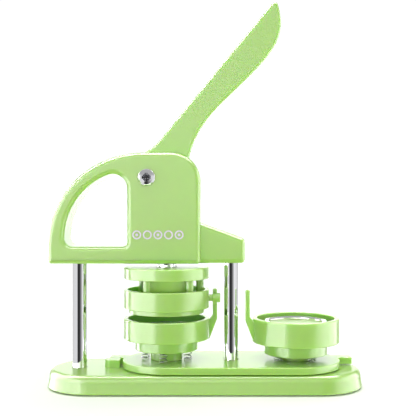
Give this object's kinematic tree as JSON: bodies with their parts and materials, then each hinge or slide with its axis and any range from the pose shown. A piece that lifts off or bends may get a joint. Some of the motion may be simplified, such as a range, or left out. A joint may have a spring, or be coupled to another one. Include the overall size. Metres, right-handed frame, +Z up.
{
  "type": "button badge maker",
  "caption": "Desk press for round pin badges: hand lever, sprung plunger and punch over a turntable that carries two sprung dies.",
  "frame": {"origin": "on the surface it stands on, under the middle of the base", "axes": "+Z up, +X towards the right-hand die, -Y is the front with the pivot screw's head"},
  "size_m": [0.3, 0.09, 0.3668],
  "materials": {
    "green_abs": "satin gloss moulded",
    "chrome": "polished",
    "zinc_steel": "zinc plated",
    "spring_steel": "nickel plated wire",
    "rubber": "matte",
    "nylon": "natural nylon"
  },
  "bodies": {
    "frame": {"base_shell": "green_abs", "base_cover": "green_abs", "cover_screw_1": "zinc_steel", "cover_screw_2": "zinc_steel", "cover_screw_3": "zinc_steel", "cover_screw_4": "zinc_steel", "rubber_foot_1": "rubber", "rubber_foot_2": "rubber", "rubber_foot_3": "rubber", "rubber_foot_4": "rubber", "column_left": "chrome", "column_right": "chrome", "column_bolt_left": "zinc_steel", "column_bolt_right": "zinc_steel", "column_washer_left": "zinc_steel", "column_washer_right": "zinc_steel", "head_front_shell": "green_abs", "head_rear_shell": "green_abs", "head_screw_1": "zinc_steel", "head_screw_2": "zinc_steel", "head_screw_3": "zinc_steel", "head_screw_4": "zinc_steel", "head_screw_5": "zinc_steel", "pivot_bolt": "chrome", "pivot_nut": "zinc_steel", "pivot_sleeve": "nylon", "pivot_spacer_front": "nylon", "pivot_spacer_rear": "nylon", "plunger_bush": "nylon", "plunger_return_spring": "spring_steel", "turntable_washer": "nylon"},
    "lever": {"lever": "green_abs"},
    "plunger": {"plunger_rod": "chrome", "plunger_cap": "zinc_steel", "plunger_cap_screw": "zinc_steel", "punch_disc": "green_abs", "punch_hub": "green_abs", "punch_plate": "zinc_steel", "punch_screw": "zinc_steel"},
    "upper_ring": {"upper_ring": "green_abs"},
    "selector": {"selector_ring": "green_abs", "selector_peg": "green_abs"},
    "turntable": {"turntable_plate": "green_abs", "die_a_post": "green_abs", "die_a_disc": "chrome", "die_a_screw": "zinc_steel", "die_a_spring_1": "spring_steel", "die_a_spring_2": "spring_steel", "die_a_spring_3": "spring_steel", "die_a_spring_4": "spring_steel", "die_b_post": "green_abs", "die_b_crimp_ring": "chrome", "die_b_screw": "zinc_steel", "die_b_spring_1": "spring_steel", "die_b_spring_2": "spring_steel", "die_b_spring_3": "spring_steel", "die_b_spring_4": "spring_steel"},
    "die_a_cup": {"die_a_cup": "green_abs"},
    "die_b_cup": {"die_b_cup": "green_abs"}
  },
  "joints": [
    {"name": "lever_press", "type": "hinge", "parent": "frame", "child": "lever", "pos_m": [-0.0545, 0, 0.1992], "axis": [0, 1, 0], "range_deg": [0, 48]},
    {"name": "plunger_slide", "type": "slide", "parent": "frame", "child": "plunger", "axis": [0, 0, -1], "range_m": [0, 0.0171], "stiffness_N_per_m": 1500, "springref_m": -0.012, "deforming": ["plunger_return_spring"]},
    {"name": "upper_ring_lift", "type": "slide", "parent": "plunger", "child": "upper_ring", "axis": [0, 0, 1], "range_m": [0, 0.0075]},
    {"name": "turntable_turn", "type": "hinge", "parent": "frame", "child": "turntable", "pos_m": [0.025, 0, 0], "axis": [0, 0, -1], "range_deg": [0, 180]},
    {"name": "selector_turn", "type": "hinge", "parent": "upper_ring", "child": "selector", "pos_m": [-0.037, 0, 0], "axis": [0, 0, 1], "range_deg": [0, 30.2]},
    {"name": "die_a_cup_press", "type": "slide", "parent": "turntable", "child": "die_a_cup", "axis": [0, 0, -1], "range_m": [0, 0.006], "stiffness_N_per_m": 1500, "springref_m": -0.004, "deforming": ["die_a_spring_1", "die_a_spring_2", "die_a_spring_3", "die_a_spring_4"]},
    {"name": "die_b_cup_press", "type": "slide", "parent": "turntable", "child": "die_b_cup", "axis": [0, 0, -1], "range_m": [0, 0.004], "stiffness_N_per_m": 1500, "springref_m": -0.004, "deforming": ["die_b_spring_1", "die_b_spring_2", "die_b_spring_3", "die_b_spring_4"]}
  ],
  "couplings": [
    {"joint": "plunger_slide", "follows": "lever_press", "m_per_rad": 0.020292},
    {"joint": "upper_ring_lift", "follows": "lever_press", "m_per_rad": 0.008833},
    {"joint": "selector_turn", "follows": "turntable_turn", "ratio": 0.16667}
  ]
}
